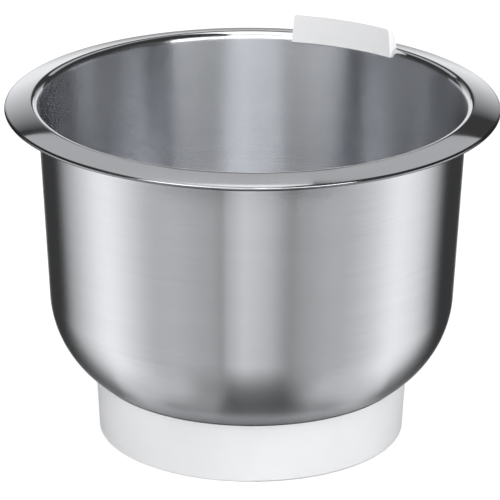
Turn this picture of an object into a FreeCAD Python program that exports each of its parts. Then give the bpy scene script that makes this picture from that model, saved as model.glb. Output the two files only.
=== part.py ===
"""Stand mixer bowl: a drawn steel bowl with a flared rim, on a white moulded twist-lock foot,
with a white moulded clip on the rim.

Millimetres, +Z up. The origin is on the table, at the centre of the foot's resting ring.
Every piece is modelled where it sits in the assembled bowl.
"""
import FreeCAD
import Part
import math
import os

# Steel bowl
SHEET = 0.8                    # thickness of the steel
MOUTH_RADIUS = 103.15          # inside of the mouth, just under the rim's crest
RIM_REACH = 16.85              # from the mouth out to the rim's outermost edge
CREST_HEIGHT = 169.6           # top of the rim's crest over the table
CREST_RADIUS = 3.9             # bend from the wall over to the flange, on the top side
FLANGE_DROP = 12.0             # degrees that the flange slopes down towards its edge
HEM_RADIUS = 1.1               # the edge turned under the flange, on the outside of the bend
HEM_RETURN = 1.6               # straight length of the turned edge
WALL_TAPER = 3.0               # degrees that the wall leans out
FLOOR_HEIGHT = 21.7            # underside of the bowl's floor over the table
FLOOR_MARGIN = 1.5             # flat floor beyond the foot's seat ring, before the corner bends up

# Moulded foot
FOOT_RADIUS = 75.0             # outside of the skirt at the table
FOOT_DRAFT = 3.0               # degrees that the skirt widens upwards
SKIRT_WALL = 2.6
SKIRT_EDGE = 1.0               # rounding of the skirt's lower outside edge
DISH_WALL = 2.4                # the dish under the bowl
DISH_GAP = 0.3                 # air between the dish and the bowl
SEAT_WIDTH = 13.0              # raised ring that carries the bowl's floor, with the studs in its middle
SEAT_LEDGE = 3.5               # dish inside the seat ring, up to the hole in the middle
RIB_COUNT = 12
RIB_THICKNESS = 1.8
RIB_CLEARANCE = 5.0            # lower edge of the ribs over the table

# Twist lock inside the foot
COLLAR_RADIUS = 52.0           # land that fits round the mixer's locating boss
COLLAR_WALL = 2.4
COLLAR_CLEARANCE = 2.0         # lower edge of the collar over the table
COLLAR_LAND = 6.0              # height of the land, with its lead-in chamfer
COLLAR_RELIEF = 0.6            # how much wider the collar is above the land
LUG_COUNT = 3
LUG_REACH = 4.0                # how far a lug stands into the bore
LUG_HEIGHT = 3.4
LUG_CLEARANCE = 9.0            # underside of the lugs over the table
LUG_ANGLE = 18.0               # degrees of full-height lug
LUG_RAMP_ANGLE = 8.0           # degrees of lead-in ramp
LUG_RAMP_RISE = 1.8
STOP_ANGLE = 3.0               # degrees of the wall that ends the turn

# Studs, washers and nuts that hold the foot to the bowl
STUD_COUNT = 4
STUD_BEARING = 45.0            # degrees from +X to the first stud
STUD_RADIUS = 1.95
STUD_END = 2.3                 # thread that stands out below the nut
STUD_PAD_RADIUS = 2.8          # welded pad at the stud's root
STUD_PAD_THICKNESS = 0.7
HOLE_CLEARANCE = 0.3
BOSS_RADIUS = 6.0
BOSS_HEIGHT = 1.4              # boss below the dish
BOSS_SPACE = 2.0               # between the bosses and the lugs
WASHER_RADIUS = 4.5
WASHER_THICKNESS = 0.8
NUT_ACROSS_FLATS = 7.0
NUT_HEIGHT = 3.2
THREAD_CLEARANCE = 0.05        # between the stud and the nut
CHAMFER = 0.5

# Clip on the rim
CLIP_BEARING = 63.4            # degrees from +X to the middle of the clip
CLIP_HALF_ANGLE = 15.7
CLIP_RISE = 10.7               # top of the clip over the rim's crest
CLIP_LIP_DROP = 3.8            # lower edge of the inner lip under the crest
CLIP_LIP_WALL = 1.1            # inner lip, in front of the bowl's wall
CLIP_GAP = 0.15                # fit between the clip and the rim
CLIP_BACK_RADIUS = 9.0         # rounded back of the upright
CLIP_TOP_RADIUS = 0.5
CLIP_END_LEAN = 5.5            # degrees that the clip's ends lean inwards
CLIP_CORNER_RADIUS = 2.0
SADDLE_HALF_ANGLE = 9.0        # the strap over the flange is narrower than the upright
SADDLE_WALL = 1.8
HOOK_LENGTH = 3.5              # under the turned edge

AXIS = FreeCAD.Vector(0, 0, 1)
ORIGIN = FreeCAD.Vector(0, 0, 0)
RIM_RADIUS = MOUTH_RADIUS + RIM_REACH

# The twist lock decides where the studs fit, the studs where the seat ring lies, and the seat ring
# how wide the bowl's flat floor is
STUD_CIRCLE_RADIUS = COLLAR_RADIUS - LUG_REACH - BOSS_SPACE - BOSS_RADIUS
SEAT_INNER = STUD_CIRCLE_RADIUS - SEAT_WIDTH / 2
SEAT_OUTER = STUD_CIRCLE_RADIUS + SEAT_WIDTH / 2
DISH_HOLE_RADIUS = SEAT_INNER - SEAT_LEDGE
FLOOR_RADIUS = SEAT_OUTER + FLOOR_MARGIN

# Heights of what hangs under the dish, over the table
BOSS_BOTTOM = FLOOR_HEIGHT - DISH_GAP - DISH_WALL - BOSS_HEIGHT
WASHER_BOTTOM = BOSS_BOTTOM - WASHER_THICKNESS
NUT_BOTTOM = WASHER_BOTTOM - NUT_HEIGHT
STUD_BOTTOM = NUT_BOTTOM - STUD_END

# Centres that the bowl's outline is drawn from, as (radius, height)
CREST_CENTRE = (MOUTH_RADIUS + CREST_RADIUS, CREST_HEIGHT - CREST_RADIUS)
CREST_UNDER = CREST_RADIUS - SHEET
FLANGE_NORMAL = 90.0 - FLANGE_DROP
WALL_NORMAL = 180.0 - WALL_TAPER


def polar(centre, radius, degrees):
    """The point at an angle round a centre, both as (radius, height)."""
    angle = math.radians(degrees)
    return (centre[0] + radius * math.cos(angle), centre[1] + radius * math.sin(angle))


def point(place):
    """A (radius, height) pair as a point of the XZ plane."""
    return FreeCAD.Vector(place[0], 0, place[1])


def line(start, end):
    return Part.makeLine(point(start), point(end))


def arc(centre, radius, start, end):
    """An arc between two angles in degrees."""
    places = [polar(centre, radius, angle) for angle in (start, (start + end) / 2, end)]
    return Part.Arc(*[point(place) for place in places]).toShape()


def polygon(places):
    """The straight edges that join the places and close the outline."""
    return [line(start, end) for start, end in zip(places, places[1:] + places[:1])]


def revolve(edges, sweep=360.0):
    """The solid that a closed outline sweeps round the axis, centred on +X when it isn't a full turn."""
    solid = Part.Face(Part.Wire(edges)).revolve(ORIGIN, AXIS, sweep)
    if sweep < 360.0:
        solid.rotate(ORIGIN, AXIS, -sweep / 2)
    return solid


def turned(shape, degrees):
    """A copy of the shape, turned round the axis."""
    copy = shape.copy()
    copy.rotate(ORIGIN, AXIS, degrees)
    return copy


def around(shape, count, first=0.0):
    """Copies of the shape, evenly spaced round the axis."""
    return [turned(shape, first + 360.0 * index / count) for index in range(count)]


def tube(inner, outer, bottom, top):
    return revolve(polygon([(inner, bottom), (outer, bottom), (outer, top), (inner, top)]))


def corner_radius():
    """Outside radius of the bend that runs from the flat floor into the tapered wall, tangent to both."""
    taper = math.radians(WALL_TAPER)
    across = (CREST_CENTRE[0] - FLOOR_RADIUS) * math.cos(taper)
    rise = (CREST_CENTRE[1] - FLOOR_HEIGHT) * math.sin(taper)
    return (across - rise - CREST_UNDER) / (1 - math.sin(taper))


CORNER_RADIUS = corner_radius()
CORNER_CENTRE = (FLOOR_RADIUS, FLOOR_HEIGHT + CORNER_RADIUS)


def flange_end():
    """Where the flange's top side meets the turned edge, so that the rim ends at RIM_RADIUS."""
    start = polar(CREST_CENTRE, CREST_RADIUS, FLANGE_NORMAL)
    slope = math.radians(FLANGE_DROP)
    hem_shift = HEM_RADIUS * (1 - math.sin(slope))
    length = (RIM_RADIUS - hem_shift - start[0]) / math.cos(slope)
    return (start[0] + length * math.cos(slope), start[1] - length * math.sin(slope))


HEM_CENTRE = polar(flange_end(), HEM_RADIUS, FLANGE_NORMAL - 180.0)


def hem_tip(radius):
    """The end of the turned edge, on the side of the hem that has this radius."""
    start = polar(HEM_CENTRE, radius, FLANGE_NORMAL - 180.0)
    return polar(start, HEM_RETURN, 180.0 - FLANGE_DROP)


def sheet_side(offset):
    """One side of the steel, from the floor's centre to the turned edge's tip.

    The offset is measured from the underside of the sheet towards the cavity.
    """
    crest = CREST_UNDER + offset
    corner = CORNER_RADIUS - offset
    hem = HEM_RADIUS - SHEET + offset
    floor_end = polar(CORNER_CENTRE, corner, -90.0)
    wall_start = polar(CORNER_CENTRE, corner, -WALL_TAPER)
    wall_end = polar(CREST_CENTRE, crest, WALL_NORMAL)
    flange_start = polar(CREST_CENTRE, crest, FLANGE_NORMAL)
    hem_start = polar(HEM_CENTRE, hem, FLANGE_NORMAL)
    hem_end = polar(HEM_CENTRE, hem, FLANGE_NORMAL - 180.0)
    return [
        line((0.0, floor_end[1]), floor_end),
        arc(CORNER_CENTRE, corner, -90.0, -WALL_TAPER),
        line(wall_start, wall_end),
        arc(CREST_CENTRE, crest, WALL_NORMAL, FLANGE_NORMAL),
        line(flange_start, hem_start),
        arc(HEM_CENTRE, hem, FLANGE_NORMAL, FLANGE_NORMAL - 180.0),
        line(hem_end, hem_tip(hem)),
    ]


def make_bowl_shell():
    """One sheet of steel: floor, corner, tapered wall, crest, sloping flange and turned edge."""
    underside = sheet_side(0.0)
    topside = sheet_side(SHEET)
    tip = line(hem_tip(HEM_RADIUS - SHEET), hem_tip(HEM_RADIUS))
    centre = line((0.0, FLOOR_HEIGHT), (0.0, FLOOR_HEIGHT + SHEET))
    return revolve(underside + [tip] + topside[::-1] + [centre])


def bowl_mould(gap):
    """The lower half of the bowl as a solid body, larger by a gap all round."""
    radius = CORNER_RADIUS + gap
    top = CORNER_CENTRE[1]
    return revolve([
        line((0.0, top), (0.0, top - radius)),
        line((0.0, top - radius), (CORNER_CENTRE[0], top - radius)),
        arc(CORNER_CENTRE, radius, -90.0, 0.0),
        line((CORNER_CENTRE[0] + radius, top), (0.0, top)),
    ])


def skirt_radius(height):
    """Outside radius of the foot's skirt at a height over the table."""
    return FOOT_RADIUS + height * math.tan(math.radians(FOOT_DRAFT))


def skirt_blank():
    """The foot's outside as a solid, with its lower edge rounded."""
    top = CORNER_CENTRE[1]
    rounding = (FOOT_RADIUS - SKIRT_EDGE, SKIRT_EDGE)
    edge_end = polar(rounding, SKIRT_EDGE, -FOOT_DRAFT)
    return revolve([
        line((0.0, top), (0.0, 0.0)),
        line((0.0, 0.0), (rounding[0], 0.0)),
        arc(rounding, SKIRT_EDGE, -90.0, -FOOT_DRAFT),
        line(edge_end, (skirt_radius(top), top)),
        line((skirt_radius(top), top), (0.0, top)),
    ])


def skirt_hollow():
    """The space inside the skirt, with a lead-in chamfer at the table."""
    top = CORNER_CENTRE[1]
    mouth = FOOT_RADIUS - SKIRT_WALL
    return revolve(polygon([
        (0.0, 0.0),
        (mouth + CHAMFER, 0.0),
        (skirt_radius(CHAMFER) - SKIRT_WALL, CHAMFER),
        (skirt_radius(top) - SKIRT_WALL, top),
        (0.0, top),
    ]))


def locating_collar():
    """The collar in the foot: a chamfered mouth, the locating land and a relief above it."""
    outer = COLLAR_RADIUS + COLLAR_WALL
    bottom = COLLAR_CLEARANCE
    land_top = bottom + COLLAR_LAND
    top = CORNER_CENTRE[1]
    return revolve(polygon([
        (COLLAR_RADIUS + CHAMFER, bottom),
        (outer, bottom),
        (outer, top),
        (COLLAR_RADIUS + COLLAR_RELIEF, top),
        (COLLAR_RADIUS + COLLAR_RELIEF, land_top),
        (COLLAR_RADIUS, land_top),
        (COLLAR_RADIUS, bottom + CHAMFER),
    ]))


def bayonet_lug():
    """One locking lug: a flat shelf, a lead-in ramp before it and a stop wall behind it."""
    inner = COLLAR_RADIUS - LUG_REACH
    outer = COLLAR_RADIUS + COLLAR_WALL / 2
    bottom = LUG_CLEARANCE
    top = bottom + LUG_HEIGHT
    shelf = revolve(polygon([(inner, bottom), (outer, bottom), (outer, top), (inner, top)]), LUG_ANGLE)
    low = top - LUG_RAMP_RISE
    start = polygon([(inner, bottom), (outer, bottom), (outer, low), (inner, low)])
    end = polygon([(inner, bottom), (outer, bottom), (outer, top), (inner, top)])
    start_wire = turned(Part.Wire(start), LUG_ANGLE / 2 + LUG_RAMP_ANGLE)
    end_wire = turned(Part.Wire(end), LUG_ANGLE / 2)
    ramp = Part.makeLoft([start_wire, end_wire], True, True)
    roof = FLOOR_HEIGHT - DISH_GAP - DISH_WALL / 2
    stop = revolve(polygon([(inner, bottom), (outer, bottom), (outer, roof), (inner, roof)]), STOP_ANGLE)
    stop.rotate(ORIGIN, AXIS, -(LUG_ANGLE + STOP_ANGLE) / 2)
    return shelf.fuse([ramp, stop])


def rib():
    """One radial rib from the collar's wall to the skirt's, which it follows upwards."""
    start = COLLAR_RADIUS + COLLAR_WALL / 2
    bottom = RIB_CLEARANCE
    top = CORNER_CENTRE[1]
    outline = polygon([
        (start, bottom),
        (skirt_radius(bottom) - SKIRT_WALL / 2, bottom),
        (skirt_radius(top) - SKIRT_WALL / 2, top),
        (start, top),
    ])
    plate = Part.Face(Part.Wire(outline)).extrude(FreeCAD.Vector(0, RIB_THICKNESS, 0))
    plate.translate(FreeCAD.Vector(0, -RIB_THICKNESS / 2, 0))
    return plate


def stud_axis_shape(radius, height, bottom):
    """A cylinder on the first stud's axis before it is turned to its bearing."""
    return Part.makeCylinder(radius, height, FreeCAD.Vector(STUD_CIRCLE_RADIUS, 0, bottom))


def make_foot_ring():
    """Skirt, dish and seat ring, the ribbed hollow round the collar, and the lugs and bosses inside it."""
    dish_underside = bowl_mould(DISH_GAP + DISH_WALL)
    foot = skirt_blank().cut(skirt_hollow().cut(dish_underside))
    boss = stud_axis_shape(BOSS_RADIUS, FLOOR_HEIGHT - BOSS_BOTTOM, BOSS_BOTTOM)
    foot = foot.fuse([locating_collar()] + around(rib(), RIB_COUNT) + around(boss, STUD_COUNT, STUD_BEARING))
    foot = foot.cut(bowl_mould(DISH_GAP))
    foot = foot.fuse(around(bayonet_lug(), LUG_COUNT))
    foot = foot.fuse(tube(SEAT_INNER, SEAT_OUTER, FLOOR_HEIGHT - DISH_GAP - DISH_WALL / 2, FLOOR_HEIGHT))
    foot = foot.cut(Part.makeCylinder(DISH_HOLE_RADIUS, FLOOR_HEIGHT))
    hole = stud_axis_shape(STUD_RADIUS + HOLE_CLEARANCE, FLOOR_HEIGHT, 0.0)
    pad_depth = STUD_PAD_THICKNESS + HOLE_CLEARANCE
    pad = stud_axis_shape(STUD_PAD_RADIUS + HOLE_CLEARANCE, pad_depth, FLOOR_HEIGHT - pad_depth)
    foot = foot.cut(around(hole.fuse(pad), STUD_COUNT, STUD_BEARING))
    return foot.removeSplitter()


def make_weld_studs():
    """Studs welded to the bowl's floor by a wide pad, with a chamfered end."""
    root = STUD_BOTTOM + CHAMFER
    shaft = stud_axis_shape(STUD_RADIUS, FLOOR_HEIGHT - root, root)
    end = Part.makeCone(STUD_RADIUS - CHAMFER, STUD_RADIUS, CHAMFER,
                        FreeCAD.Vector(STUD_CIRCLE_RADIUS, 0, STUD_BOTTOM))
    pad = stud_axis_shape(STUD_PAD_RADIUS, STUD_PAD_THICKNESS, FLOOR_HEIGHT - STUD_PAD_THICKNESS)
    return Part.makeCompound(around(shaft.fuse([end, pad]).removeSplitter(), STUD_COUNT, STUD_BEARING))


def make_washers():
    disc = stud_axis_shape(WASHER_RADIUS, WASHER_THICKNESS, WASHER_BOTTOM)
    hole = stud_axis_shape(STUD_RADIUS + HOLE_CLEARANCE, WASHER_THICKNESS, WASHER_BOTTOM)
    return Part.makeCompound(around(disc.cut(hole), STUD_COUNT, STUD_BEARING))


def make_nuts():
    """Plain hexagon nuts with their corners turned off top and bottom."""
    corner = NUT_ACROSS_FLATS / 2 / math.cos(math.radians(30.0))
    corners = [FreeCAD.Vector(STUD_CIRCLE_RADIUS + corner * math.cos(math.radians(60.0 * index)),
                              corner * math.sin(math.radians(60.0 * index)), NUT_BOTTOM)
               for index in range(7)]
    hexagon = Part.Face(Part.makePolygon(corners)).extrude(FreeCAD.Vector(0, 0, NUT_HEIGHT))
    crown = stud_axis_shape(corner, NUT_HEIGHT, NUT_BOTTOM)
    crown = crown.makeChamfer(CHAMFER, [edge for edge in crown.Edges if len(edge.Vertexes) == 1])
    hole = stud_axis_shape(STUD_RADIUS + THREAD_CLEARANCE, NUT_HEIGHT, NUT_BOTTOM)
    return Part.makeCompound(around(hexagon.common(crown).cut(hole), STUD_COUNT, STUD_BEARING))


def clip_upright_section():
    """Section of the clip's upright: a flat face to the bowl's middle and a rounded back.

    Its underside follows the crest, and its inner lip hangs in front of the wall.
    """
    fit = CREST_RADIUS + CLIP_GAP
    face = MOUTH_RADIUS - CLIP_GAP - CLIP_LIP_WALL
    lip_bottom = CREST_HEIGHT - CLIP_LIP_DROP
    top = CREST_HEIGHT + CLIP_RISE
    back = CREST_CENTRE[0]
    top_centre = (face + CLIP_TOP_RADIUS, top - CLIP_TOP_RADIUS)
    reach = CLIP_BACK_RADIUS - CLIP_TOP_RADIUS
    across = top_centre[0] - (back - CLIP_BACK_RADIUS)
    below = math.sqrt(reach ** 2 - across ** 2)
    back_centre = (back - CLIP_BACK_RADIUS, top_centre[1] - below)
    meeting = math.degrees(math.atan2(below, across))
    lip_inside = polar(CREST_CENTRE, fit, 180.0)
    return [
        line((face, lip_bottom), (face, top_centre[1])),
        arc(top_centre, CLIP_TOP_RADIUS, 180.0, meeting),
        arc(back_centre, CLIP_BACK_RADIUS, meeting, 0.0),
        line((back, back_centre[1]), polar(CREST_CENTRE, fit, 90.0)),
        arc(CREST_CENTRE, fit, 90.0, 180.0),
        line(lip_inside, (lip_inside[0], lip_bottom)),
        line((lip_inside[0], lip_bottom), (face, lip_bottom)),
    ]


def clip_outline(distance):
    """The clip's front outline on a plane at a distance from the axis: leaning ends and round top corners."""
    bottom = CREST_HEIGHT - CREST_RADIUS - CLIP_RISE
    top = CREST_HEIGHT + CLIP_RISE
    lean = math.radians(CLIP_END_LEAN)
    half = distance * math.tan(math.radians(CLIP_HALF_ANGLE))
    half_bottom = half + (CREST_HEIGHT - CLIP_LIP_DROP - bottom) * math.tan(lean)
    half_top = half_bottom - (top - bottom) * math.tan(lean)
    corner_angle = 90.0 + CLIP_END_LEAN
    setback = CLIP_CORNER_RADIUS * math.tan(math.radians(180.0 - corner_angle) / 2)
    centre = (half_top - setback, top - CLIP_CORNER_RADIUS)
    places = [polar(centre, CLIP_CORNER_RADIUS, angle)
              for angle in (CLIP_END_LEAN, (90.0 + CLIP_END_LEAN) / 2, 90.0)]

    def at(side, place):
        return FreeCAD.Vector(distance, side * place[0], place[1])

    right = [at(1, place) for place in places]
    left = [at(-1, place) for place in reversed(places)]
    foot_right = at(1, (half_bottom, bottom))
    foot_left = at(-1, (half_bottom, bottom))
    return Part.Wire([
        Part.makeLine(foot_right, right[0]),
        Part.Arc(*right).toShape(),
        Part.makeLine(right[2], left[0]),
        Part.Arc(*left).toShape(),
        Part.makeLine(left[2], foot_left),
        Part.makeLine(foot_left, foot_right),
    ])


def clip_saddle_section():
    """Section of the strap that rides on the flange, wraps the turned edge and hooks under it."""
    fit = CREST_RADIUS + CLIP_GAP
    inner = HEM_RADIUS + CLIP_GAP
    outer = inner + SADDLE_WALL
    turn = FLANGE_NORMAL - 180.0
    inward = 180.0 - FLANGE_DROP
    hook_inside = polar(HEM_CENTRE, inner, turn)
    hook_outside = polar(HEM_CENTRE, outer, turn)
    hook_nose = polar(hook_inside, HOOK_LENGTH - SADDLE_WALL / 2, inward)
    hook_heel = polar(hook_outside, HOOK_LENGTH, inward)
    return [
        arc(CREST_CENTRE, fit, 90.0, FLANGE_NORMAL),
        line(polar(CREST_CENTRE, fit, FLANGE_NORMAL), polar(HEM_CENTRE, inner, FLANGE_NORMAL)),
        arc(HEM_CENTRE, inner, FLANGE_NORMAL, turn),
        line(hook_inside, hook_nose),
        line(hook_nose, hook_heel),
        line(hook_heel, hook_outside),
        arc(HEM_CENTRE, outer, turn, FLANGE_NORMAL),
        line(polar(HEM_CENTRE, outer, FLANGE_NORMAL), polar(CREST_CENTRE, fit + SADDLE_WALL, FLANGE_NORMAL)),
        arc(CREST_CENTRE, fit + SADDLE_WALL, FLANGE_NORMAL, 90.0),
        line(polar(CREST_CENTRE, fit + SADDLE_WALL, 90.0), polar(CREST_CENTRE, fit, 90.0)),
    ]


def make_rim_grip():
    """The clip: an upright with leaning ends and round corners, and a narrower strap that hooks the rim."""
    sweep = 2 * (CLIP_HALF_ANGLE + CLIP_END_LEAN)
    upright = revolve(clip_upright_section(), sweep)
    outline = Part.makeLoft([clip_outline(MOUTH_RADIUS / 2), clip_outline(RIM_RADIUS)], True, True)
    upright = upright.common(outline)
    saddle = revolve(clip_saddle_section(), 2 * SADDLE_HALF_ANGLE)
    grip = upright.fuse(saddle).removeSplitter()
    grip.rotate(ORIGIN, AXIS, CLIP_BEARING)
    return grip


PIECES = {
    "bowl_shell": make_bowl_shell,
    "foot_ring": make_foot_ring,
    "rim_grip": make_rim_grip,
    "weld_studs": make_weld_studs,
    "washers": make_washers,
    "hex_nuts": make_nuts,
}

os.makedirs("parts", exist_ok=True)
for name, make in PIECES.items():
    shape = make()
    shape.exportStep(f"parts/{name}.step")
    print(name, "solids", len(shape.Solids), "valid", shape.isValid(), "volume", round(shape.Volume, 1))
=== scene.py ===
# %% [markdown]
# # A steel bowl for a stand mixer
#
# The object is a drawn steel bowl with a wide, turned-under rim, a white moulded foot that locks
# it to the mixer, and a small white clip on the rim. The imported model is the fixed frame: it gives
# every size and place, and the pieces made here are finer copies of its nodes. This script was
# written in the order in which a picture of steel is made: camera, shapes, materials, then the
# studio, because polished steel shows little of itself and a lot of what stands around it.

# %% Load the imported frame
import math
import bpy
from mathutils import Matrix, Vector


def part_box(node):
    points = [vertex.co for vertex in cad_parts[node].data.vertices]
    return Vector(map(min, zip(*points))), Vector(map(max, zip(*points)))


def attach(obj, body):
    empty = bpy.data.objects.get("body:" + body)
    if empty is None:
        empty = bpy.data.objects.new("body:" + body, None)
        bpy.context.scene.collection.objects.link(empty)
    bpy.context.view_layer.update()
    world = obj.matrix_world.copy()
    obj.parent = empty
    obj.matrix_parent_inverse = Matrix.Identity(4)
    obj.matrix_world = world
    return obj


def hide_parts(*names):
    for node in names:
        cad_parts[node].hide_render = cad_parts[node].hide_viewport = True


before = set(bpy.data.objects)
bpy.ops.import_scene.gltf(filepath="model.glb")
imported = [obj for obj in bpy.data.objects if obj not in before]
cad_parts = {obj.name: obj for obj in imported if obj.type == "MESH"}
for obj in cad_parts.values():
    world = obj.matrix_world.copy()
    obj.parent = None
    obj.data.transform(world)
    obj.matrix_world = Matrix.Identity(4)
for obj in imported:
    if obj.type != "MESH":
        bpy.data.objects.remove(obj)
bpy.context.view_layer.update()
MM = 0.001

# %% [markdown]
# ## The camera
#
# A product photograph is taken from far away with a long lens, so that circles become clean
# ellipses. The distance, the height and the lens follow from three things in the photograph: how
# wide the rim's ellipse is, how flat it is, and how much smaller the foot looks than its real size
# says. The camera looks a little below the rim, and it is turned by a fraction of a degree, since
# the foot's middle lies slightly to the right of the rim's.

# %% Camera
AIM_HEIGHT = 0.1657
CAMERA_DISTANCE = 2.092
CAMERA_ELEVATION = math.radians(18.82)
CAMERA_PITCH = math.radians(20.73)
CAMERA_PAN = math.radians(0.025)
CAMERA_ROLL = math.radians(0.3)
CAMERA_LENS = 311.3

bpy.ops.object.select_all(action="DESELECT")
bpy.ops.object.camera_add(location=(
    0.0,
    -CAMERA_DISTANCE * math.cos(CAMERA_ELEVATION),
    AIM_HEIGHT + CAMERA_DISTANCE * math.sin(CAMERA_ELEVATION)))
camera = bpy.context.object
turn = Matrix.Rotation(CAMERA_PAN, 3, "Z") @ Matrix.Rotation(math.pi / 2 - CAMERA_PITCH, 3, "X")
camera.rotation_euler = (turn @ Matrix.Rotation(CAMERA_ROLL, 3, "Z")).to_euler()
camera.data.lens = CAMERA_LENS
camera.data.sensor_width = 36.0
camera.data.clip_end = 50.0
bpy.context.scene.camera = camera
print("camera at", [round(value, 3) for value in camera.location])

# %% [markdown]
# ## Helpers for modelling
#
# Most of this object is round, so most pieces start the same way: one point, pushed along the
# outline of the section by extruding it again and again, and the outline then spun round the axis.
# By hand this is one vertex, E, a click for each point, and Spin. Here a plane is merged into that
# first vertex, and a loop does the clicks.


# %% Start an outline from one vertex and spin it
def start_outline(name, places):
    """A new piece in edit mode: a chain of edges through the places, which are Vectors."""
    bpy.ops.object.select_all(action="DESELECT")
    bpy.ops.mesh.primitive_plane_add(size=MM, location=places[0])
    piece = bpy.context.object
    piece.name = name
    bpy.ops.object.transform_apply(location=True, rotation=False, scale=False)
    bpy.ops.object.mode_set(mode="EDIT")
    bpy.ops.mesh.select_all(action="SELECT")
    bpy.ops.mesh.merge(type="CENTER")
    for start, end in zip(places, places[1:]):
        bpy.ops.mesh.extrude_region_move(TRANSFORM_OT_translate={"value": end - start})
    return piece


def clean_edit_mesh(merge=0.001 * MM):
    """Merges points closer than the distance and turns all faces outwards."""
    bpy.ops.mesh.select_all(action="SELECT")
    bpy.ops.mesh.remove_doubles(threshold=merge)
    bpy.ops.mesh.normals_make_consistent(inside=False)


def spin(steps, degrees=360.0):
    """Spins the edited mesh anticlockwise, seen from above. Spin itself counts clockwise."""
    bpy.ops.mesh.select_all(action="SELECT")
    bpy.ops.mesh.spin(steps=steps, angle=-math.radians(degrees),
                      center=(0.0, 0.0, 0.0), axis=(0.0, 0.0, 1.0))
    clean_edit_mesh()


# %% Outline points
def polar(centre, radius, degrees):
    """A point of the section plane at an angle round a centre, both as (radius, height)."""
    angle = math.radians(degrees)
    return (centre[0] + radius * math.cos(angle), centre[1] + radius * math.sin(angle))


def arc(centre, radius, start, end, steps):
    """Points along an arc of the section, both ends included."""
    return [polar(centre, radius, start + (end - start) * step / steps)
            for step in range(steps + 1)]


def section(points, bearing=0.0):
    """Points (radius, height) of the section as places in the plane at a bearing from +X."""
    angle = math.radians(bearing)
    return [Vector((radius * math.cos(angle), radius * math.sin(angle), height))
            for radius, height in points]


# %% [markdown]
# ## The bowl
#
# The real bowl is pressed from one sheet of steel 0.8 mm thick. Its edge is rolled under, so that
# it is smooth to the hand and the rim keeps round. A closed section with two sides would have to
# be drawn twice, so only the side that faces the food is drawn, and a Solidify modifier gives the
# sheet its thickness afterwards. Spinning with 256 steps keeps the rim round even in a close view.

# %% Sizes of the bowl, from its box and a few of its own
shell_low, shell_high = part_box("bowl_shell")
SHEET = 0.8 * MM
RIM_RADIUS = shell_high.x
CREST_HEIGHT = shell_high.z
FLOOR_TOP = shell_low.z + SHEET
MOUTH_RADIUS = RIM_RADIUS - 16.85 * MM
CREST_RADIUS = 3.9 * MM
CORNER_RADIUS = 50.2 * MM
HEM_RADIUS = 1.1 * MM
HEM_RETURN = 1.6 * MM
FLANGE_SLOPE = 12.0
WALL_TAPER = 3.0
BOWL_STEPS = 256
print("rim", RIM_RADIUS, "crest", CREST_HEIGHT, "floor", FLOOR_TOP)


# %% The section of the bowl's upper side
def rim_middles():
    """The middles of the crest's arc and of the turned edge's arc. The clip follows both too."""
    slope = math.radians(FLANGE_SLOPE)
    crest = (MOUTH_RADIUS + CREST_RADIUS, CREST_HEIGHT - CREST_RADIUS)
    flange_start = polar(crest, CREST_RADIUS, 90.0 - FLANGE_SLOPE)
    edge = RIM_RADIUS - HEM_RADIUS * (1 - math.sin(slope))
    flange_end = (edge, flange_start[1] - (edge - flange_start[0]) * math.tan(slope))
    return crest, polar(flange_end, HEM_RADIUS, -90.0 - FLANGE_SLOPE)


def bowl_outline():
    """Floor, corner, wall, crest, flange and turned edge, from the floor's middle outwards."""
    taper = math.radians(WALL_TAPER)
    crest, hem = rim_middles()
    corner_height = FLOOR_TOP + CORNER_RADIUS
    reach = CREST_RADIUS + CORNER_RADIUS + (crest[1] - corner_height) * math.sin(taper)
    corner = (crest[0] - reach / math.cos(taper), corner_height)
    hem_end = polar(hem, HEM_RADIUS, -90.0 - FLANGE_SLOPE)
    return (
        [(0.0, FLOOR_TOP)]
        + arc(corner, CORNER_RADIUS, -90.0, -WALL_TAPER, 40)
        + arc(crest, CREST_RADIUS, 180.0 - WALL_TAPER, 90.0 - FLANGE_SLOPE, 18)
        + arc(hem, HEM_RADIUS, 90.0 - FLANGE_SLOPE, -90.0 - FLANGE_SLOPE, 12)
        + [polar(hem_end, HEM_RETURN, 180.0 - FLANGE_SLOPE)]
    )


# %% Spin the bowl and give it its thickness
bowl = start_outline("steel_bowl", section(bowl_outline()))
spin(steps=BOWL_STEPS)
bpy.ops.object.mode_set(mode="OBJECT")
floor_face = min(bowl.data.polygons, key=lambda face: face.center.z + face.center.xy.length)
looks_down = floor_face.normal.z < 0
if looks_down:
    bpy.ops.object.mode_set(mode="EDIT")
    bpy.ops.mesh.flip_normals()
    bpy.ops.object.mode_set(mode="OBJECT")
sheet = bowl.modifiers.new("sheet", "SOLIDIFY")
sheet.thickness = SHEET
sheet.offset = -1.0
sheet.use_even_offset = True
bpy.ops.object.modifier_apply(modifier="sheet")
bpy.ops.object.shade_smooth_by_angle(angle=math.radians(35.0))
print("bowl:", len(bowl.data.polygons), "faces, normals flipped:", looks_down)

# %% [markdown]
# ## The rim clip
#
# The clip is a small moulding: a flat face towards the middle of the bowl, a rounded back, ends
# that lean in and round top corners. Its section is constant along the rim, so it is spun through
# the clip's angle only, and the leaning ends are then cut with Bisect. A fan of further cuts makes
# the round corners. It leaves short edges, and Bevel keeps its width below the shortest edge that
# it meets, so the upright's edges stay nearly sharp. Points that the bevel leaves very close
# together are merged, which keeps the mesh closed.

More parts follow.
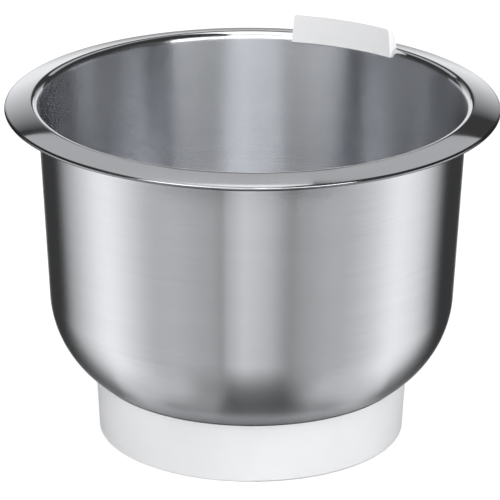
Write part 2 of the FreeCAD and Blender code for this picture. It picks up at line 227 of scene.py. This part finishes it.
# %% Sizes of the clip
CLIP_BEARING = 63.4
CLIP_HALF_ANGLE = 15.7
CLIP_END_LEAN = 5.5
CLIP_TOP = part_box("rim_grip")[1].z
CLIP_LIP_DROP = 3.8 * MM
CLIP_LIP_BOTTOM = CREST_HEIGHT - CLIP_LIP_DROP
CLIP_LIP_WALL = 1.1 * MM
CLIP_GAP = 0.15 * MM
CLIP_BACK_RADIUS = 9.0 * MM
CLIP_EDGE = 0.45 * MM
CLIP_CORNER_RADIUS = 2.0 * MM
CORNER_CUTS = 8
SHARP_ANGLE = 35.0
CLOSE_POINTS = 0.02 * MM
print("clip top", CLIP_TOP)


# %% The section of the clip's upright
def clip_outline():
    """Face, rounded back, and the underside that follows the crest down to the inner lip."""
    crest = rim_middles()[0]
    face = MOUTH_RADIUS - CLIP_GAP - CLIP_LIP_WALL
    across = crest[0] - CLIP_BACK_RADIUS - face
    rise = math.sqrt(CLIP_BACK_RADIUS ** 2 - across ** 2)
    back = (crest[0] - CLIP_BACK_RADIUS, CLIP_TOP - rise)
    meeting = math.degrees(math.atan2(CLIP_TOP - back[1], -across))
    return (
        [(face, CLIP_LIP_BOTTOM)]
        + arc(back, CLIP_BACK_RADIUS, meeting, 0.0, 16)
        + arc(crest, CREST_RADIUS + CLIP_GAP, 90.0, 180.0, 12)
        + [(MOUTH_RADIUS - CLIP_GAP, CLIP_LIP_BOTTOM)]
    )


print(len(clip_outline()), "points in the clip's section")


# %% Tools for the clip
def sweep_solid(name, outline, half_angle, steps):
    """A closed outline, filled and spun to both sides of the clip's bearing."""
    piece = start_outline(name, section(outline, CLIP_BEARING - half_angle))
    bpy.ops.mesh.select_all(action="SELECT")
    bpy.ops.mesh.edge_face_add()
    spin(steps=steps, degrees=2 * half_angle)
    return piece


def cut_outside(plane_point, plane_normal):
    """Cuts the edited mesh with a plane, drops what lies in front of it and fills the cut."""
    bpy.ops.mesh.select_all(action="SELECT")
    bpy.ops.mesh.bisect(plane_co=plane_point, plane_no=plane_normal,
                        use_fill=True, clear_outer=True)


def round_sharp_edges(width, segments):
    """Bevels each edge of the edited mesh that turns by more than the angle of a sharp edge."""
    bpy.ops.mesh.select_mode(type="EDGE")
    bpy.ops.mesh.select_all(action="DESELECT")
    bpy.ops.mesh.edges_select_sharp(sharpness=math.radians(SHARP_ANGLE))
    bpy.ops.mesh.bevel(offset=width, offset_type="OFFSET", segments=segments,
                       profile=0.5, clamp_overlap=True)
    bpy.ops.mesh.select_mode(type="VERT")


def lean_cuts():
    """Planes for the two ends: a leaning cut, then a fan of cuts that rounds the top corner."""
    spread = math.tan(math.radians(CLIP_HALF_ANGLE))
    lean = math.radians(CLIP_END_LEAN)
    half_top = (CLIP_LIP_BOTTOM - CLIP_TOP) * math.tan(lean)
    setback = CLIP_CORNER_RADIUS * math.tan(math.radians(90.0 - CLIP_END_LEAN) / 2)
    planes = []
    for side in (-1, 1):
        for step in range(CORNER_CUTS):
            angle = lean + (math.pi / 2 - lean) * step / CORNER_CUTS
            across = half_top - setback + CLIP_CORNER_RADIUS * math.cos(angle)
            height = CLIP_TOP - CLIP_CORNER_RADIUS * (1 - math.sin(angle))
            normal = Vector((-spread * math.cos(angle), side * math.cos(angle), math.sin(angle)))
            planes.append((Vector((0.0, side * across, height)), normal))
    return planes


# %% Cut the upright to its shape
to_bearing = Matrix.Rotation(math.radians(CLIP_BEARING), 3, "Z")
clip = sweep_solid("clip", clip_outline(), CLIP_HALF_ANGLE + CLIP_END_LEAN, steps=48)
for plane_point, plane_normal in lean_cuts():
    cut_outside(to_bearing @ plane_point, to_bearing @ plane_normal)
clean_edit_mesh()
round_sharp_edges(CLIP_EDGE, 3)
clean_edit_mesh(merge=CLOSE_POINTS)
bpy.ops.object.mode_set(mode="OBJECT")
print("clip upright:", len(clip.data.polygons), "faces")

# %% [markdown]
# A narrower strap runs from the upright over the flange and hooks under the rolled edge, which is
# what holds the clip. It is a second outline, spun through a smaller angle. It starts 2 mm inside
# the upright, so that a Boolean union finds a clear overlap and makes one closed moulding of both.

# %% The strap and its hook
STRAP_HALF_ANGLE = 9.0
STRAP_WALL = 1.8 * MM
STRAP_ROOT = 2.0 * MM
STRAP_ROOT_LIFT = 0.4 * MM
STRAP_EDGE = 0.3 * MM
HOOK_LENGTH = 3.5 * MM


def strap_outline():
    """The strap over the flange, round the turned edge, and its hook."""
    crest, hem = rim_middles()
    fit = CREST_RADIUS + CLIP_GAP
    inner = HEM_RADIUS + CLIP_GAP
    outer = inner + STRAP_WALL
    up = 90.0 - FLANGE_SLOPE
    inwards = 180.0 - FLANGE_SLOPE
    root = crest[0] - STRAP_ROOT
    nose = polar(polar(hem, inner, up - 180.0), HOOK_LENGTH - STRAP_WALL / 2, inwards)
    heel = polar(polar(hem, outer, up - 180.0), HOOK_LENGTH, inwards)
    return (
        [(root, crest[1] + fit + STRAP_ROOT_LIFT)]
        + arc(crest, fit, 90.0, up, 3)
        + arc(hem, inner, up, up - 180.0, 12)
        + [nose, heel]
        + arc(hem, outer, up - 180.0, up, 16)
        + arc(crest, fit + STRAP_WALL, up, 90.0, 3)
        + [(root, crest[1] + fit + STRAP_WALL)]
    )


strap = sweep_solid("strap", strap_outline(), STRAP_HALF_ANGLE, steps=20)
round_sharp_edges(STRAP_EDGE, 2)
clean_edit_mesh()
bpy.ops.object.mode_set(mode="OBJECT")
print("strap:", len(strap.data.polygons), "faces")

# %% Join the upright and the strap
bpy.ops.object.select_all(action="DESELECT")
clip.select_set(True)
bpy.context.view_layer.objects.active = clip
join = clip.modifiers.new("join", "BOOLEAN")
join.operation = "UNION"
join.solver = "EXACT"
join.object = strap
bpy.ops.object.modifier_apply(modifier="join")
bpy.data.objects.remove(strap)
bpy.ops.object.shade_smooth_by_angle(angle=math.radians(30.0))
print("clip:", len(clip.data.polygons), "faces")

# %% [markdown]
# ## Materials as small sums
#
# A finish is a sum of patterns: streaks, plus a broader change, times a mask. In the node editor
# that is a web of Math nodes. Here a small class wraps a node's output and gives it plus, minus,
# times and a power, so that a finish reads as a formula. Every other node comes from one method.


# %% A number that varies over a surface
class Varying:
    """One output of a node. Arithmetic on it adds Math nodes."""

    def __init__(self, finish, socket):
        self.finish = finish
        self.socket = socket

    def maths(self, operation, *values):
        return self.finish.node("ShaderNodeMath", {"operation": operation},
                                dict(enumerate(values)))

    def __add__(self, other):
        return self.maths("ADD", self, other)

    def __sub__(self, other):
        return self.maths("SUBTRACT", self, other)

    def __rsub__(self, other):
        return self.maths("SUBTRACT", other, self)

    def __mul__(self, other):
        return self.maths("MULTIPLY", self, other)

    def __pow__(self, other):
        return self.maths("POWER", self, other)


# %% A finish and its nodes
class Finish:
    """A material that is built node by node."""

    def __init__(self, name):
        self.material = bpy.data.materials.new(name)
        self.material.use_nodes = True
        self.nodes = self.material.node_tree.nodes
        self.links = self.material.node_tree.links
        self.nodes.clear()

    def node(self, kind, settings, inputs, output=0):
        """A node with its settings made first, then its sockets set or linked."""
        node = self.nodes.new(kind)
        for name, value in settings.items():
            setattr(node, name, value)
        for name, value in inputs.items():
            if isinstance(value, Varying):
                self.links.new(value.socket, node.inputs[name])
            else:
                node.inputs[name].default_value = value
        return Varying(self, node.outputs[output]) if node.outputs else node

    def place(self):
        """The three object coordinates of the point that is shaded, in metres."""
        place = self.node("ShaderNodeTexCoord", {}, {}, "Object")
        return [self.node("ShaderNodeSeparateXYZ", {}, {0: place}, axis) for axis in "XYZ"]

    def noise(self, x, y, z, detail=2.0, roughness=0.5):
        """Soft noise between 0 and 1, with one feature for each unit of x, y and z."""
        vector = self.node("ShaderNodeCombineXYZ", {}, {0: x, 1: y, 2: z})
        return self.node("ShaderNodeTexNoise", {},
                         {"Vector": vector, "Scale": 1.0, "Detail": detail,
                          "Roughness": roughness})

    def ramp(self, value, low, high):
        """0 at low, 1 at high, and a smooth change between them. High may be the lower one."""
        return self.node("ShaderNodeMapRange", {"interpolation_type": "SMOOTHSTEP"},
                         {"Value": value, "From Min": low, "From Max": high})

    def blend(self, factor, first, second):
        """A colour that goes from the first to the second as the factor goes from 0 to 1."""
        return self.node("ShaderNodeMix", {"data_type": "RGBA"},
                         {0: factor, 6: first, 7: second}, 2)

    def bump(self, height, strength, distance):
        return self.node("ShaderNodeBump", {},
                         {"Height": height, "Strength": strength, "Distance": distance})

    def surface(self, sockets):
        """Ends the material in a Principled shader with these sockets."""
        shader = self.node("ShaderNodeBsdfPrincipled", {}, sockets)
        self.node("ShaderNodeOutputMaterial", {}, {"Surface": shader})
        return self.material


def grey(level):
    """A grey or white of this level as a colour."""
    return (level, level, level, 1.0)


# %% [markdown]
# ## Brushed and polished steel
#
# The bowl is brushed while it turns, so the grooves run round it. A groove scatters light across
# itself and not along itself: a reflection is smeared up and down, and stays sharp from side to
# side, which is why steel bowls show tall bands. The Anisotropic socket does exactly that. The
# grooves that can be seen one by one are noise, stretched round the axis and packed tightly along
# the section. Radius plus height grows steadily from the middle of the floor up the wall and over
# the rim, so it serves as the distance along the section. The flange and the crest are polished,
# and the edge that is rolled under is duller, because no polishing wheel reaches it. Its colour is
# also painted darker: a painted shade that dims its reflection and draws a dark line under the rim.
# Beside the foot the underside's colour is painted darker towards the foot: a painted shade that
# stands in for the shadow there that the steel would mirror. The corner bend is part of a circle,
# so the distance from the middle of that circle tells the outside from the inside.

# %% Sizes and colours of the steel's pattern
STEEL_COLOUR = (0.662, 0.674, 0.701, 1.0)
STEEL_LIGHT = (0.693, 0.705, 0.731, 1.0)
# Painted shade: the rolled edge's colour is darkened to dim its reflection.
EDGE_PAINTED_SHADE_COLOUR = (0.32, 0.325, 0.34, 1.0)
# Painted shade: the steel beside the foot is darkened, standing in for the shadow it would mirror.
FOOT_PAINTED_SHADE_COLOUR = (0.20, 0.205, 0.215, 1.0)
JOINT_HEIGHT = 31.5 * MM
JOINT_SHADE = 9.0 * MM
CORNER_MIDDLE = 48.0 * MM
GROOVES_PER_METRE = 2600.0
BANDS_PER_METRE = 420.0
STREAKS_PER_METRE = 12.0
BAND_STREAKS_PER_METRE = 6.0
BRUSHED_ROUGHNESS = 0.17
POLISHED_ROUGHNESS = 0.07
GROOVE_ROUGHNESS = 0.04
EDGE_ROUGHNESS = 0.06

# %% Steel
steel = Finish("brushed steel")
x, y, z = steel.place()
radius = (x * x + y * y) ** 0.5
along = radius + z
polished = steel.ramp(radius, MOUTH_RADIUS + 0.2 * MM, MOUTH_RADIUS + 1.4 * MM)
rolled_edge = steel.ramp(radius, RIM_RADIUS - 1.3 * MM, RIM_RADIUS - 0.7 * MM)
brushed = 1.0 - polished

rings = steel.noise(0.0, 0.0, along * GROOVES_PER_METRE, 3.0, 0.6)
grooves = steel.noise(x * STREAKS_PER_METRE, y * STREAKS_PER_METRE, along * GROOVES_PER_METRE,
                      3.0, 0.6)
bands = steel.noise(x * BAND_STREAKS_PER_METRE, y * BAND_STREAKS_PER_METRE,
                    along * BANDS_PER_METRE, 2.0)
streaks = grooves * 0.8 + bands * 0.2
tone = (steel.ramp(streaks, 0.38, 0.62) - 0.5) * brushed + 0.5
clean = steel.blend(tone, STEEL_COLOUR, STEEL_LIGHT)

# Painted shade beside the foot: darker towards the foot, from 9 mm above the joint down to it.
across = radius - CORNER_MIDDLE
below = z - (FLOOR_TOP + CORNER_RADIUS)
from_middle = (across * across + below * below) ** 0.5
outside = steel.ramp(from_middle, CORNER_RADIUS + 0.2 * MM, CORNER_RADIUS + 0.6 * MM)
beside_foot = outside * steel.ramp(radius, 56.0 * MM, 62.0 * MM)
shaded = beside_foot * steel.ramp(z, JOINT_HEIGHT + JOINT_SHADE, JOINT_HEIGHT)
shaded_steel = steel.blend(shaded, clean, FOOT_PAINTED_SHADE_COLOUR)

steel_material = steel.surface({
    # Base Color carries painted shade on the rolled edge and beside the foot.
    "Base Color": steel.blend(rolled_edge, shaded_steel, EDGE_PAINTED_SHADE_COLOUR),
    "Roughness": (brushed * BRUSHED_ROUGHNESS + POLISHED_ROUGHNESS
                  + (grooves - 0.5) * brushed * GROOVE_ROUGHNESS + rolled_edge * EDGE_ROUGHNESS),
    "Metallic": 1.0,
    "Anisotropic": 1.0,
    "Anisotropic Rotation": 0.25,
    "Normal": steel.bump(rings * brushed, 0.07, 0.04 * MM),
})
print("steel:", len(steel.nodes), "nodes")

# %% [markdown]
# ## White mouldings
#
# The foot and the clip are satin plastic. A mould leaves a very fine grain, which softens the
# highlight, and the plastic is a little cloudy, so its white is never quite even. The foot's white
# is slightly cooler than the clip's in the photograph.

# %% Plastic
GRAIN_PER_METRE = 2200.0
CLOUDS_PER_METRE = 28.0
CLOUD_SHADE = 0.965


def moulded_plastic(name, colour, roughness):
    """Satin plastic of a colour, with a fine grain and a cloudy change of tone."""
    finish = Finish(name)
    x, y, z = finish.place()
    grain = finish.noise(x * GRAIN_PER_METRE, y * GRAIN_PER_METRE, z * GRAIN_PER_METRE, 2.0)
    cloud = finish.noise(x * CLOUDS_PER_METRE, y * CLOUDS_PER_METRE, z * CLOUDS_PER_METRE, 3.0)
    darker = tuple(channel * CLOUD_SHADE for channel in colour[:3]) + (1.0,)
    return finish.surface({
        "Base Color": finish.blend(finish.ramp(cloud, 0.3, 0.7), darker, colour),
        "Roughness": cloud * 0.08 + grain * 0.06 + (roughness - 0.07),
        "Specular IOR Level": 0.45,
        "Normal": finish.bump(grain, 0.15, 0.02 * MM),
    })


foot_material = moulded_plastic("foot plastic", (0.86, 0.865, 0.88, 1.0), 0.42)
clip_material = moulded_plastic("clip plastic", (0.96, 0.96, 0.965, 1.0), 0.36)

# %% Plain stainless of the fasteners
DULL_SPOTS_PER_METRE = 900.0

fastener = Finish("fastener steel")
dull = fastener.noise(*[value * DULL_SPOTS_PER_METRE for value in fastener.place()], 3.0)
fastener_material = fastener.surface({
    "Base Color": fastener.blend(dull, (0.54, 0.54, 0.55, 1.0), (0.62, 0.62, 0.63, 1.0)),
    "Roughness": dull * 0.16 + 0.26,
    "Metallic": 1.0,
    "Normal": fastener.bump(dull, 0.1, 0.02 * MM),
})
print("plastics and fastener steel ready")


# %% Give the pieces their finish and their place in the table
def dress(piece, material, node):
    """A finished piece: its material, the body it rides on and the node it stands for."""
    piece.data.materials.clear()
    piece.data.materials.append(material)
    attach(piece, "root")
    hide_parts(node)


dress(bowl, steel_material, "bowl_shell")
dress(clip, clip_material, "rim_grip")
kept_nodes = {
    "foot_ring": foot_material,
    "weld_studs": fastener_material,
    "washers": fastener_material,
    "hex_nuts": fastener_material,
}
for name, material in kept_nodes.items():
    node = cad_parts[name]
    node.data.materials.clear()
    node.data.materials.append(material)

# %% [markdown]
# ## The floor and the soft light
#
# The floor is pale and plain. What the camera sees of it is partly its own white, so that it
# stays as bright as the background, and partly lit, so that it keeps the object's shadow. The
# world is white to the camera and to reflections, and a softer light to everything else.

# %% Floor
FLOOR_SIZE = 9.0
FLOOR_PLAIN_WHITE = 0.6
FLOOR_LIT_WHITE = 0.40
FLOOR_OWN_WHITE = 0.72


def seen_rays(finish):
    """1 for rays from the camera and for reflected or refracted ones, 0 for diffuse light."""
    camera_ray, glossy_ray, transmission_ray = [
        finish.node("ShaderNodeLightPath", {}, {}, name)
        for name in ("Is Camera Ray", "Is Glossy Ray", "Is Transmission Ray")]
    rays = camera_ray + glossy_ray + transmission_ray
    return rays.maths("MINIMUM", rays, 1.0)


bpy.ops.object.select_all(action="DESELECT")
bpy.ops.mesh.primitive_plane_add(size=FLOOR_SIZE, location=(0.0, 0.0, 0.0))
floor = bpy.context.object
floor.name = "floor"
paper = Finish("paper floor")
plain = paper.node("ShaderNodeBsdfDiffuse", {}, {"Color": grey(FLOOR_PLAIN_WHITE)})
lit = paper.node("ShaderNodeBsdfDiffuse", {}, {"Color": grey(FLOOR_LIT_WHITE)})
own = paper.node("ShaderNodeEmission", {}, {"Strength": FLOOR_OWN_WHITE})
shown = paper.node("ShaderNodeAddShader", {}, {0: lit, 1: own})
mixed = paper.node("ShaderNodeMixShader", {}, {0: seen_rays(paper), 1: plain, 2: shown})
paper.node("ShaderNodeOutputMaterial", {}, {"Surface": mixed})
floor.data.materials.append(paper.material)
floor.visible_glossy = False

# %% World
WORLD_LIGHT = 0.42


class WorldFinish(Finish):
    """The same way of building nodes, for the world."""

    def __init__(self, world):
        world.use_nodes = True
        self.nodes = world.node_tree.nodes
        self.links = world.node_tree.links
        self.nodes.clear()


world = bpy.data.worlds.new("white studio")
bpy.context.scene.world = world
sky = WorldFinish(world)
strength = seen_rays(sky) * (1.0 - WORLD_LIGHT) + WORLD_LIGHT
light = sky.node("ShaderNodeBackground", {}, {"Color": grey(1.0), "Strength": strength})
sky.node("ShaderNodeOutputWorld", {}, {"Surface": light})


# %% Soft lamps
def softbox(name, azimuth, elevation, distance, size, power):
    """A large square lamp that looks at the bowl. Azimuth 0 is the camera's side."""
    a, e = math.radians(azimuth), math.radians(elevation)
    away = Vector((math.sin(a) * math.cos(e), -math.cos(a) * math.cos(e), math.sin(e)))
    bpy.ops.object.light_add(type="AREA", location=away * distance)
    lamp = bpy.context.object
    lamp.name = name
    lamp.rotation_euler = away.to_track_quat("Z", "Y").to_euler()
    lamp.data.size = size
    lamp.data.energy = power
    lamp.visible_glossy = False


softbox("key", 54.0, 30.0, 2.2, 1.6, 26.0)
softbox("fill", -37.0, 28.0, 2.4, 1.8, 28.0)
softbox("top", 0.0, 88.0, 2.0, 1.8, 8.0)
softbox("back", 180.0, 40.0, 2.4, 1.8, 12.0)
print("floor, world and four lamps ready")

# %% [markdown]
# ## What the steel sees
#
# A photographer of steel lights the room and not the bowl. The bowl stands in a tent of cards:
# white ones make the bright bands, grey ones the quiet middle, and black flags stand behind on both
# sides, so that the bowl's edges turn dark against a white background. Each card is a strip of a
# wide cylinder round the bowl, and only reflections see it. Azimuths count from the camera's side,
# and are positive to the right. A card's brightness changes evenly between two of its edges.

# %% One card
TENT_RADIUS = 1.5
TENT_LOW = -1.6
TENT_MIDDLE = 0.80
TENT_TOP = 2.0
CARD_STEP = 4
BLACK = 0.05


def only_reflected(piece, level):
    """A piece that reflections see and nothing else does, as bright as the level."""
    finish = Finish(piece.name)
    glow = finish.node("ShaderNodeEmission", {}, {"Color": level(finish)})
    finish.node("ShaderNodeOutputMaterial", {}, {"Surface": glow})
    piece.data.materials.append(finish.material)
    piece.visible_camera = False
    piece.visible_diffuse = False
    piece.visible_transmission = False
    piece.visible_shadow = False


def card(name, start, end, first_level, last_level, low, high, upwards=False):
    """A curved card. Its level changes from left to right, or from its lower edge upwards."""
    outline = [(TENT_RADIUS, low), (TENT_RADIUS, high)]
    piece = start_outline(name, section(outline, start - 90.0))
    spin(steps=max(2, round((end - start) / CARD_STEP)), degrees=end - start)
    bpy.ops.object.mode_set(mode="OBJECT")
    middle = math.radians((start + end) / 2)
    half = math.radians(end - start) / 2

    def level(finish):
        x, y, z = finish.place()
        ahead = x * math.sin(middle) - y * math.cos(middle)
        aside = x * math.cos(middle) + y * math.sin(middle)
        across = aside.maths("ARCTAN2", aside, ahead)
        value, first, last = (z, low, high) if upwards else (across, -half, half)
        return finish.node("ShaderNodeMapRange", {},
                           {"Value": value, "From Min": first, "From Max": last,
                            "To Min": first_level, "To Max": last_level})

    only_reflected(piece, level)


# %% [markdown]
# The lower ring is what the outside of the bowl reflects. Its brightest cards stand at right angles
# to the view, and its narrow dark slits on both sides of the camera frame a lighter middle. The
# bright cards end low, with black ones over them, because only the inside of the bowl would see
# more of them, and the sides of the inside are dark in the photograph.

# %% Lower ring
SIDE_START = 60.0
SIDE_TOP = 0.15
MIDDLE_LOW = -1.15
LOWER_RING = [
    ("left_edge", -124.0, -92.0, 0.40, 1.32),
    ("left_light", -92.0, -84.0, 1.32, 1.36),
    ("left_fade", -84.0, -55.0, 1.36, 0.60),
    ("left_quiet", -55.0, -26.0, 0.58, 0.43),
    ("left_step", -26.0, -19.0, 0.43, 0.43),
    ("left_slit", -19.0, -14.5, 0.32, 0.34),
    ("middle_rise", -14.5, -4.0, 0.56, 0.96),
    ("middle_fall", -4.0, 12.0, 0.96, 0.66),
    ("middle_end", 12.0, 19.5, 0.63, 0.36),
    ("right_slit", 19.5, 24.0, 0.29, 0.29),
    ("right_quiet", 24.0, 44.0, 0.37, 0.48),
    ("right_rise", 44.0, 70.0, 0.50, 0.90),
    ("right_light", 70.0, 86.0, 0.90, 1.36),
    ("right_fade", 86.0, 104.0, 1.36, 1.12),
    ("right_edge", 104.0, 122.0, 1.12, 0.40),
]
for name, start, end, first_level, last_level in LOWER_RING:
    bottom = MIDDLE_LOW if name.startswith("middle") else TENT_LOW
    top = SIDE_TOP if start < -SIDE_START or end > SIDE_START else TENT_MIDDLE
    card(name, start, end, first_level, last_level, bottom, top)
card("front_foot", -14.5, 19.5, 0.0, 0.0, TENT_LOW, MIDDLE_LOW)
card("left_shade", -124.0, -55.0, BLACK, BLACK, SIDE_TOP, TENT_MIDDLE)
card("right_shade", 44.0, 122.0, BLACK, BLACK, SIDE_TOP, TENT_MIDDLE)
card("left_flag", -152.0, -124.0, BLACK, BLACK, TENT_LOW, TENT_TOP)
card("right_flag", 122.0, 152.0, BLACK, BLACK, TENT_LOW, TENT_TOP)
print(len(LOWER_RING), "cards in the lower ring")

# %% [markdown]
# The upper ring is what the inside of the bowl reflects, after its grooves have smeared it upwards
# over the opposite rim. The left of the picture shows the right of the ring. Its bright cards are
# much brighter than white paper, because the light loses a part at each of its bounces inside.

# %% Upper ring
SHADE_START = 1.3
UPPER_RING = [
    ("high_left_edge", -124.0, -92.0, BLACK, BLACK),
    ("high_left_side", -92.0, -54.0, 0.10, 0.14),
    ("high_left_rise", -54.0, -28.0, 5.40, 5.60),
    ("high_left_front", -28.0, -2.0, 5.00, 3.30),
    ("high_middle", -2.0, 2.0, 3.20, 3.50),
    ("high_strip", 2.0, 7.5, 5.00, 5.60),
    ("high_right_front", 7.5, 16.0, 3.60, 4.80),
    ("high_right_rise", 16.0, 49.0, 6.60, 7.80),
    ("high_right_side", 49.0, 90.0, 0.14, 0.10),
    ("high_right_edge", 90.0, 122.0, BLACK, BLACK),
]
for name, start, end, first_level, last_level in UPPER_RING:
    top = SHADE_START if name == "high_right_rise" else TENT_TOP
    card(name, start, end, first_level, last_level, TENT_MIDDLE, top)
card("high_right_shade", 16.0, 49.0, BLACK, BLACK, SHADE_START, TENT_TOP)
print(len(UPPER_RING), "cards in the upper ring")

# %% [markdown]
# The polished flange looks at the back of the tent. A backdrop stands there that is white at eye
# level and darkens upwards, and a grey panel hangs over it. Their border is the dark line that
# crosses the flange at both sides. The crest in front sees all of this within one millimetre, so a
# white strip with a black one over it draws a light line and a dark one along the mouth.

# %% Back of the tent
BACK_RIGHT = 152.0
BEHIND_RIGHT = 164.0
LINE_RIGHT = 173.0
LINE_LEFT = 187.0
BEHIND_LEFT = 196.0
BACK_LEFT = 208.0
PANEL = 0.54
BACK_CARDS = [
    ("back_flag_right", BACK_RIGHT, BEHIND_RIGHT, BLACK, BLACK, TENT_LOW, -0.04),
    ("back_flag_left", BEHIND_LEFT, BACK_LEFT, BLACK, BLACK, TENT_LOW, -0.04),
    ("back_low", BEHIND_RIGHT, BEHIND_LEFT, 0.55, 1.0, TENT_LOW, -0.70),
    ("back_middle", BEHIND_RIGHT, BEHIND_LEFT, 1.0, 1.0, -0.70, -0.20),
    ("back_flange", BEHIND_RIGHT, BEHIND_LEFT, 0.35, 0.35, -0.20, -0.04),
    ("backdrop_foot", BACK_RIGHT, BACK_LEFT, 0.30, 1.0, -0.04, 0.25),
    ("white_line", LINE_RIGHT, LINE_LEFT, 0.90, 1.05, 0.25, 0.62),
    ("black_line", LINE_RIGHT, LINE_LEFT, BLACK, BLACK, 0.62, 1.40),
    ("panel_middle", LINE_RIGHT, LINE_LEFT, PANEL, PANEL, 1.40, TENT_TOP),
    ("backdrop_right", BACK_RIGHT, LINE_RIGHT, 1.05, 0.85, 0.25, 0.40),
    ("shade_right", BACK_RIGHT, LINE_RIGHT, 0.85, 0.06, 0.40, 0.74),
    ("gap_right", BACK_RIGHT, LINE_RIGHT, BLACK, BLACK, 0.74, 0.96),
    ("panel_right", BACK_RIGHT, LINE_RIGHT, PANEL, PANEL, 0.96, TENT_TOP),
    ("backdrop_left", LINE_LEFT, BACK_LEFT, 1.05, 1.05, 0.25, 0.40),
    ("shade_left", LINE_LEFT, BACK_LEFT, 1.05, 0.08, 0.40, 0.90),
    ("gap_left", LINE_LEFT, BACK_LEFT, BLACK, BLACK, 0.90, 0.96),
    ("panel_left", LINE_LEFT, BACK_LEFT, PANEL, PANEL, 0.96, TENT_TOP),
]
for name, start, end, first_level, last_level, low, high in BACK_CARDS:
    card(name, start, end, first_level, last_level, low, high, upwards=True)
print(len(BACK_CARDS), "cards at the back")

# %% [markdown]
# Two discs close the tent, so that no reflection finds the white world. Flat cards lie just inside
# them: grey ones low on both sides of the bowl, and one softbox over it.


# %% Ceiling, ground and overhead softbox
def disc_card(name, radius, height, level):
    """A round card that lies flat."""
    bpy.ops.object.select_all(action="DESELECT")
    bpy.ops.mesh.primitive_circle_add(vertices=96, radius=radius, fill_type="NGON",
                                      location=(0.0, 0.0, height))
    piece = bpy.context.object
    piece.name = name
    only_reflected(piece, lambda finish: grey(level))


def flat_card(name, left, right, front, back, height, level):
    """A rectangular card that lies flat."""
    bpy.ops.object.select_all(action="DESELECT")
    bpy.ops.mesh.primitive_plane_add(
        size=1.0, location=((left + right) / 2, (front + back) / 2, height))
    piece = bpy.context.object
    piece.name = name
    piece.scale = (right - left, back - front, 1.0)
    only_reflected(piece, lambda finish: grey(level))


OVER_GROUND = TENT_LOW + 0.02
UNDER_CEILING = TENT_TOP - 0.02

disc_card("ceiling", TENT_RADIUS, TENT_TOP, BLACK)
disc_card("ground", TENT_RADIUS, TENT_LOW, BLACK)
flat_card("ground_left", -0.70, -0.30, -0.95, 0.15, OVER_GROUND, 0.40)
flat_card("ground_left_end", -1.4, -0.70, -0.95, 0.90, OVER_GROUND, 0.75)
flat_card("ground_right", 0.50, 0.70, -0.95, 0.15, OVER_GROUND, 0.40)
flat_card("ground_right_end", 0.70, 1.4, -0.95, 0.90, OVER_GROUND, 0.75)
flat_card("overhead_softbox", -0.82, 0.24, -0.8, 1.4, UNDER_CEILING, 1.6)
print("tent closed")

# %% [markdown]
# ## View
#
# The Standard view transform shows a colour as it is written.

# %% Finish
bpy.context.scene.view_settings.view_transform = "Standard"
